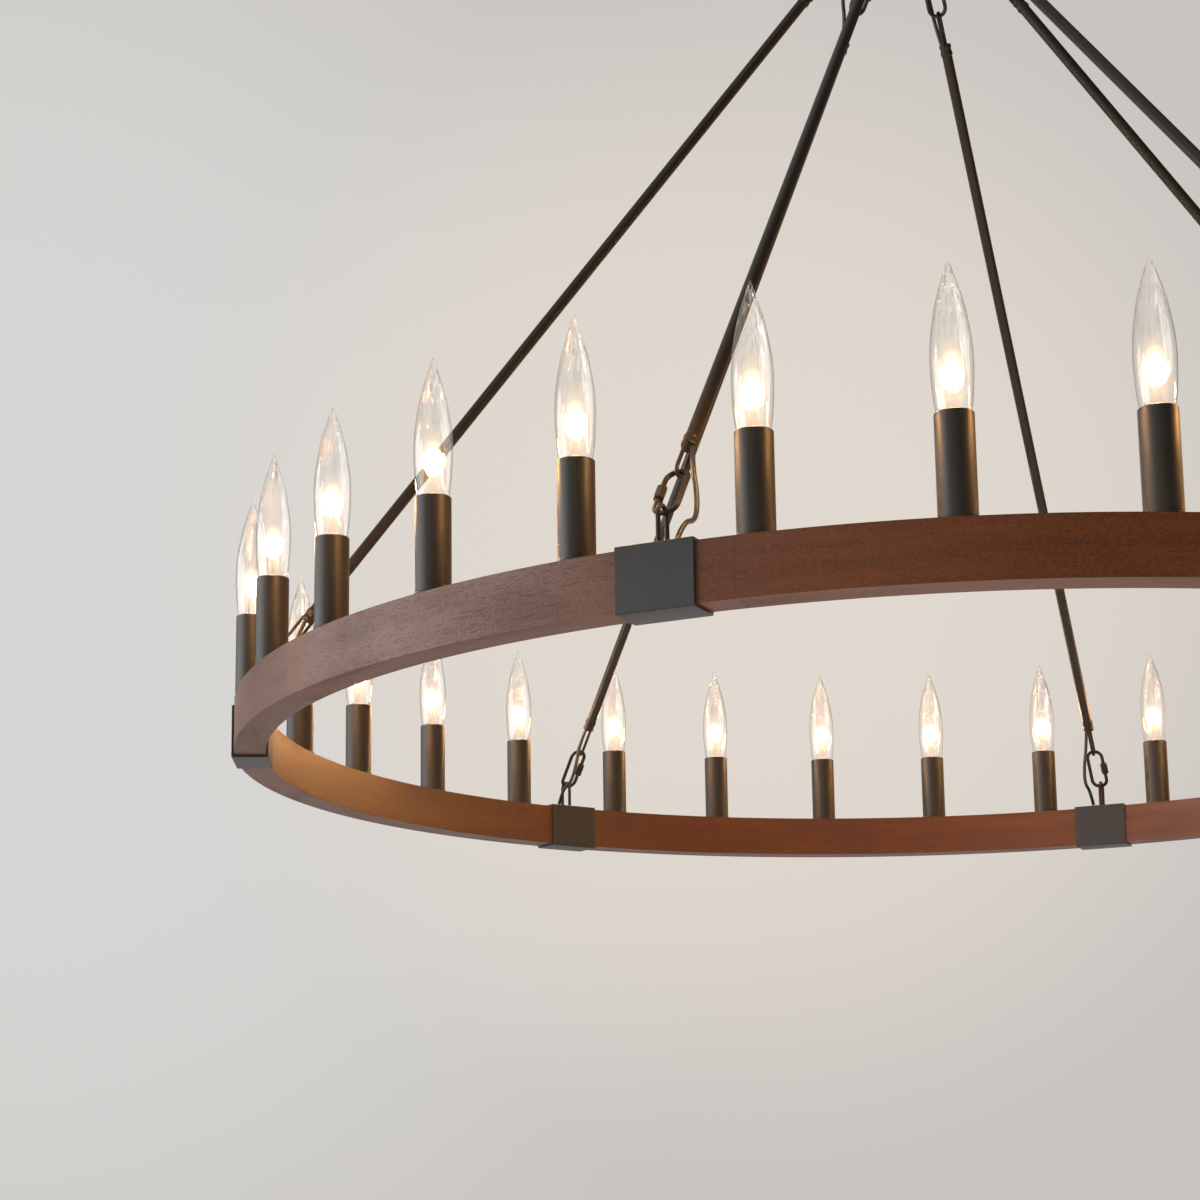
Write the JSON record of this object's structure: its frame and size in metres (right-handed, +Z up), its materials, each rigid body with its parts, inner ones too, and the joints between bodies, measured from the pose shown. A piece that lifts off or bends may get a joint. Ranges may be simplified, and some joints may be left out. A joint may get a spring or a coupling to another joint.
{
  "type": "wagon wheel chandelier",
  "caption": "Hoop-shaped timber chandelier with candle lamps around its rim, hung on straight rods from a central hub, chain and ceiling canopy.",
  "frame": {"origin": "centre of the two ceiling screw holes of the crossbar, on the face that lies against the ceiling", "axes": "+Z up, towards the ceiling; +X through one clamp of the ring, along the crossbar"},
  "size_m": [1.5052, 1.5002, 1.2325],
  "materials": {
    "timber": "stained and wiped, satin",
    "steel_black": "satin black",
    "housing_black": "satin black",
    "sleeve_black": "satin black",
    "chain_black": "satin black",
    "plated_steel": "zinc plated",
    "bulb_base": "rolled thread shell",
    "socket": "moulded phenolic",
    "wire": "smooth black insulation",
    "grommet": "matte",
    "bulb_glass": "clear"
  },
  "bodies": {
    "ceiling_fitting": {"crossbar": "plated_steel", "stem": "plated_steel", "stem_nut": "plated_steel", "canopy": "housing_black", "canopy_ring_nut": "housing_black", "canopy_loop": "housing_black"},
    "chain_link_1": {"chain_link_1": "chain_black"},
    "chain_link_2": {"chain_link_2": "chain_black"},
    "chain_link_3": {"chain_link_3": "chain_black"},
    "fixture": {"bulb_bases": "bulb_base", "bulbs": "bulb_glass", "candle_sleeves": "sleeve_black", "clamp_screws": "steel_black", "hub_finial": "housing_black", "hub_grommets": "grommet", "hub_housing": "housing_black", "hub_link_nuts": "steel_black", "hub_loops": "steel_black", "hub_plate": "steel_black", "hub_quick_links": "steel_black", "hub_rod_eyes": "steel_black", "hub_stem": "plated_steel", "hub_top_loop": "steel_black", "lamp_sockets": "socket", "lamp_wires": "wire", "ring_clamp_1": "steel_black", "ring_clamp_2": "steel_black", "ring_clamp_3": "steel_black", "ring_clamp_4": "steel_black", "ring_clamp_5": "steel_black", "ring_clamp_6": "steel_black", "ring_grommets": "grommet", "ring_link_nuts": "steel_black", "ring_loops": "steel_black", "ring_quick_links": "steel_black", "ring_rod_eyes": "steel_black", "ring_segment_1": "timber", "ring_segment_2": "timber", "ring_segment_3": "timber", "ring_segment_4": "timber", "ring_segment_5": "timber", "ring_segment_6": "timber", "ring_segment_7": "timber", "ring_segment_8": "timber", "ring_segment_9": "timber", "rod_1": "steel_black", "rod_2": "steel_black", "rod_3": "steel_black", "rod_4": "steel_black", "rod_5": "steel_black", "rod_6": "steel_black"}
  },
  "joints": [
    {"name": "chain_link_1_swing", "type": "hinge", "parent": "ceiling_fitting", "child": "chain_link_1", "pos_m": [0, 0, -0.081], "axis": [1, 0, 0], "range_deg": [-20, 20]},
    {"name": "chain_link_2_swing", "type": "hinge", "parent": "chain_link_1", "child": "chain_link_2", "pos_m": [0, 0, -0.1157], "axis": [0, 1, 0], "range_deg": [-20, 20]},
    {"name": "chain_link_3_twist", "type": "hinge", "parent": "chain_link_2", "child": "chain_link_3", "pos_m": [0, 0, -0.1504], "axis": [0, 0, 1], "range_deg": [-15, 15]},
    {"name": "fixture_swing", "type": "hinge", "parent": "chain_link_3", "child": "fixture", "pos_m": [0, 0, -0.1798], "axis": [1, 0, 0], "range_deg": [-20, 20]}
  ]
}
